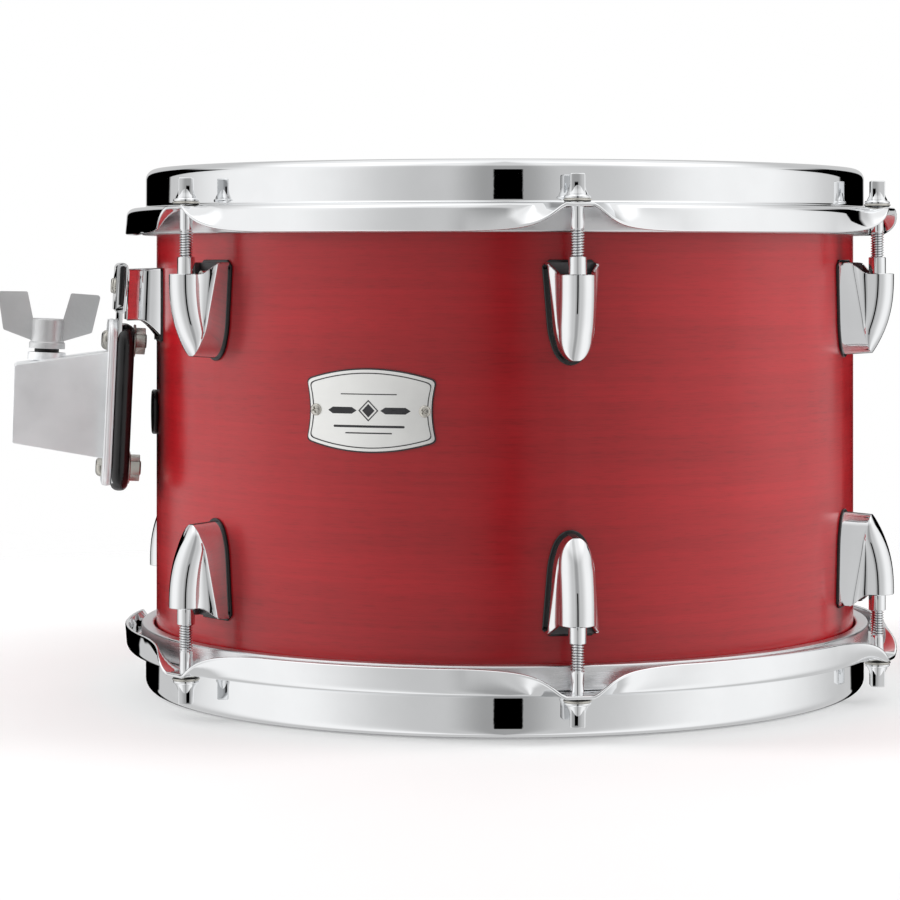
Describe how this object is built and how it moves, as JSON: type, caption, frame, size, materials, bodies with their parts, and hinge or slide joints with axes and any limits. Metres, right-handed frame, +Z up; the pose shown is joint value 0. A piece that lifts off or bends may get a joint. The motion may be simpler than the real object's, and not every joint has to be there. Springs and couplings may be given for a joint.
{
  "type": "tom tom drum",
  "caption": "Rack tom drum with two heads, pressed hoops, bullet lugs with square-head tension rods, and a rubber-isolated tom-arm clamp with a wing bolt.",
  "frame": {"origin": "on the drum's axis in the plane of the lower (resonant) rim", "axes": "+Z up the drum's axis towards the batter head, -X out through the middle of the tom-arm bracket"},
  "size_m": [0.3852, 0.3472, 0.224],
  "materials": {
    "stained_maple": "satin clear coat over candy-red stained maple with fine grain round the shell",
    "chrome_plate": "bright chrome plate",
    "satin_casting": "satin silver-plated die casting",
    "zinc_steel": "zinc-plated steel",
    "bare_aluminium": "drawn aluminium channel",
    "black_rubber": "moulded black rubber, slightly shiny",
    "black_nylon": "black nylon",
    "coated_film": "white coated polyester film, finely rough",
    "clear_film": "clear polyester film",
    "badge_enamel": "silver-white enamelled plate with a dark border line and a plain ornament"
  },
  "bodies": {
    "drum": {"shell": "stained_maple", "batter_head": "coated_film", "batter_flesh_hoop": "bare_aluminium", "resonant_head": "clear_film", "resonant_flesh_hoop": "bare_aluminium", "batter_hoop": "chrome_plate", "resonant_hoop": "chrome_plate", "lug_gaskets": "black_rubber", "lug_nuts": "chrome_plate", "shell_screws": "zinc_steel", "badge": "badge_enamel", "badge_screws": "zinc_steel", "vent_grommet": "black_rubber", "bracket_posts": "chrome_plate", "bracket_gaskets": "black_rubber", "hanger_plate": "chrome_plate", "hanger_grommets": "black_rubber", "isolation_pad": "black_rubber", "clamp_body": "satin_casting", "bracket_bolts": "zinc_steel", "bracket_nuts": "zinc_steel", "wing_bolt_washer": "black_nylon", "lug_casing_batter_1": "chrome_plate", "lug_casing_batter_2": "chrome_plate", "lug_casing_batter_3": "chrome_plate", "lug_casing_batter_4": "chrome_plate", "lug_casing_batter_5": "chrome_plate", "lug_casing_batter_6": "chrome_plate", "lug_casing_resonant_1": "chrome_plate", "lug_casing_resonant_2": "chrome_plate", "lug_casing_resonant_3": "chrome_plate", "lug_casing_resonant_4": "chrome_plate", "lug_casing_resonant_5": "chrome_plate", "lug_casing_resonant_6": "chrome_plate"},
    "washer_batter_1": {"rod_washer_batter_1": "zinc_steel"},
    "rod_batter_1": {"tension_rod_batter_1": "chrome_plate"},
    "washer_batter_2": {"rod_washer_batter_2": "zinc_steel"},
    "rod_batter_2": {"tension_rod_batter_2": "chrome_plate"},
    "washer_batter_3": {"rod_washer_batter_3": "zinc_steel"},
    "rod_batter_3": {"tension_rod_batter_3": "chrome_plate"},
    "washer_batter_4": {"rod_washer_batter_4": "zinc_steel"},
    "rod_batter_4": {"tension_rod_batter_4": "chrome_plate"},
    "washer_batter_5": {"rod_washer_batter_5": "zinc_steel"},
    "rod_batter_5": {"tension_rod_batter_5": "chrome_plate"},
    "washer_batter_6": {"rod_washer_batter_6": "zinc_steel"},
    "rod_batter_6": {"tension_rod_batter_6": "chrome_plate"},
    "washer_resonant_1": {"rod_washer_resonant_1": "zinc_steel"},
    "rod_resonant_1": {"tension_rod_resonant_1": "chrome_plate"},
    "washer_resonant_2": {"rod_washer_resonant_2": "zinc_steel"},
    "rod_resonant_2": {"tension_rod_resonant_2": "chrome_plate"},
    "washer_resonant_3": {"rod_washer_resonant_3": "zinc_steel"},
    "rod_resonant_3": {"tension_rod_resonant_3": "chrome_plate"},
    "washer_resonant_4": {"rod_washer_resonant_4": "zinc_steel"},
    "rod_resonant_4": {"tension_rod_resonant_4": "chrome_plate"},
    "washer_resonant_5": {"rod_washer_resonant_5": "zinc_steel"},
    "rod_resonant_5": {"tension_rod_resonant_5": "chrome_plate"},
    "washer_resonant_6": {"rod_washer_resonant_6": "zinc_steel"},
    "rod_resonant_6": {"tension_rod_resonant_6": "chrome_plate"},
    "shoe": {"clamp_shoe": "zinc_steel"},
    "wing": {"wing_bolt": "satin_casting"}
  },
  "joints": [
    {"name": "rod_batter_1_travel", "type": "slide", "parent": "drum", "child": "washer_batter_1", "axis": [0, 0, 1], "range_m": [0, 0.02116]},
    {"name": "rod_batter_1_turn", "type": "hinge", "parent": "washer_batter_1", "child": "rod_batter_1", "pos_m": [0.14428, 0.0833, 0.207], "axis": [0, 0, 1], "range_deg": [0, 7201]},
    {"name": "rod_batter_2_travel", "type": "slide", "parent": "drum", "child": "washer_batter_2", "axis": [0, 0, 1], "range_m": [0, 0.02116]},
    {"name": "rod_batter_2_turn", "type": "hinge", "parent": "washer_batter_2", "child": "rod_batter_2", "pos_m": [0, 0.1666, 0.207], "axis": [0, 0, 1], "range_deg": [0, 7201]},
    {"name": "rod_batter_3_travel", "type": "slide", "parent": "drum", "child": "washer_batter_3", "axis": [0, 0, 1], "range_m": [0, 0.02116]},
    {"name": "rod_batter_3_turn", "type": "hinge", "parent": "washer_batter_3", "child": "rod_batter_3", "pos_m": [-0.14428, 0.0833, 0.207], "axis": [0, 0, 1], "range_deg": [0, 7201]},
    {"name": "rod_batter_4_travel", "type": "slide", "parent": "drum", "child": "washer_batter_4", "axis": [0, 0, 1], "range_m": [0, 0.02116]},
    {"name": "rod_batter_4_turn", "type": "hinge", "parent": "washer_batter_4", "child": "rod_batter_4", "pos_m": [-0.14428, -0.0833, 0.207], "axis": [0, 0, 1], "range_deg": [0, 7201]},
    {"name": "rod_batter_5_travel", "type": "slide", "parent": "drum", "child": "washer_batter_5", "axis": [0, 0, 1], "range_m": [0, 0.02116]},
    {"name": "rod_batter_5_turn", "type": "hinge", "parent": "washer_batter_5", "child": "rod_batter_5", "pos_m": [0, -0.1666, 0.207], "axis": [0, 0, 1], "range_deg": [0, 7201]},
    {"name": "rod_batter_6_travel", "type": "slide", "parent": "drum", "child": "washer_batter_6", "axis": [0, 0, 1], "range_m": [0, 0.02116]},
    {"name": "rod_batter_6_turn", "type": "hinge", "parent": "washer_batter_6", "child": "rod_batter_6", "pos_m": [0.14428, -0.0833, 0.207], "axis": [0, 0, 1], "range_deg": [0, 7201]},
    {"name": "rod_resonant_1_travel", "type": "slide", "parent": "drum", "child": "washer_resonant_1", "axis": [0, 0, -1], "range_m": [0, 0.02116]},
    {"name": "rod_resonant_1_turn", "type": "hinge", "parent": "washer_resonant_1", "child": "rod_resonant_1", "pos_m": [0.14428, 0.0833, 0.017], "axis": [0, 0, -1], "range_deg": [0, 7201]},
    {"name": "rod_resonant_2_travel", "type": "slide", "parent": "drum", "child": "washer_resonant_2", "axis": [0, 0, -1], "range_m": [0, 0.02116]},
    {"name": "rod_resonant_2_turn", "type": "hinge", "parent": "washer_resonant_2", "child": "rod_resonant_2", "pos_m": [0, 0.1666, 0.017], "axis": [0, 0, -1], "range_deg": [0, 7201]},
    {"name": "rod_resonant_3_travel", "type": "slide", "parent": "drum", "child": "washer_resonant_3", "axis": [0, 0, -1], "range_m": [0, 0.02116]},
    {"name": "rod_resonant_3_turn", "type": "hinge", "parent": "washer_resonant_3", "child": "rod_resonant_3", "pos_m": [-0.14428, 0.0833, 0.017], "axis": [0, 0, -1], "range_deg": [0, 7201]},
    {"name": "rod_resonant_4_travel", "type": "slide", "parent": "drum", "child": "washer_resonant_4", "axis": [0, 0, -1], "range_m": [0, 0.02116]},
    {"name": "rod_resonant_4_turn", "type": "hinge", "parent": "washer_resonant_4", "child": "rod_resonant_4", "pos_m": [-0.14428, -0.0833, 0.017], "axis": [0, 0, -1], "range_deg": [0, 7201]},
    {"name": "rod_resonant_5_travel", "type": "slide", "parent": "drum", "child": "washer_resonant_5", "axis": [0, 0, -1], "range_m": [0, 0.02116]},
    {"name": "rod_resonant_5_turn", "type": "hinge", "parent": "washer_resonant_5", "child": "rod_resonant_5", "pos_m": [0, -0.1666, 0.017], "axis": [0, 0, -1], "range_deg": [0, 7201]},
    {"name": "rod_resonant_6_travel", "type": "slide", "parent": "drum", "child": "washer_resonant_6", "axis": [0, 0, -1], "range_m": [0, 0.02116]},
    {"name": "rod_resonant_6_turn", "type": "hinge", "parent": "washer_resonant_6", "child": "rod_resonant_6", "pos_m": [0.14428, -0.0833, 0.017], "axis": [0, 0, -1], "range_deg": [0, 7201]},
    {"name": "shoe_travel", "type": "slide", "parent": "drum", "child": "shoe", "axis": [0.0454, 0, 0.999], "range_m": [0, 0.004]},
    {"name": "wing_bolt_turn", "type": "hinge", "parent": "shoe", "child": "wing", "pos_m": [-0.199, 0, 0.14351], "axis": [0.0454, 0, 0.999], "range_deg": [0, 1152]}
  ],
  "couplings": [
    {"joint": "rod_batter_1_turn", "follows": "rod_batter_1_travel", "rad_per_m": 5938.7},
    {"joint": "rod_batter_2_turn", "follows": "rod_batter_2_travel", "rad_per_m": 5938.7},
    {"joint": "rod_batter_3_turn", "follows": "rod_batter_3_travel", "rad_per_m": 5938.7},
    {"joint": "rod_batter_4_turn", "follows": "rod_batter_4_travel", "rad_per_m": 5938.7},
    {"joint": "rod_batter_5_turn", "follows": "rod_batter_5_travel", "rad_per_m": 5938.7},
    {"joint": "rod_batter_6_turn", "follows": "rod_batter_6_travel", "rad_per_m": 5938.7},
    {"joint": "rod_resonant_1_turn", "follows": "rod_resonant_1_travel", "rad_per_m": 5938.7},
    {"joint": "rod_resonant_2_turn", "follows": "rod_resonant_2_travel", "rad_per_m": 5938.7},
    {"joint": "rod_resonant_3_turn", "follows": "rod_resonant_3_travel", "rad_per_m": 5938.7},
    {"joint": "rod_resonant_4_turn", "follows": "rod_resonant_4_travel", "rad_per_m": 5938.7},
    {"joint": "rod_resonant_5_turn", "follows": "rod_resonant_5_travel", "rad_per_m": 5938.7},
    {"joint": "rod_resonant_6_turn", "follows": "rod_resonant_6_travel", "rad_per_m": 5938.7},
    {"joint": "shoe_travel", "follows": "wing_bolt_turn", "m_per_rad": 0.00019894}
  ]
}
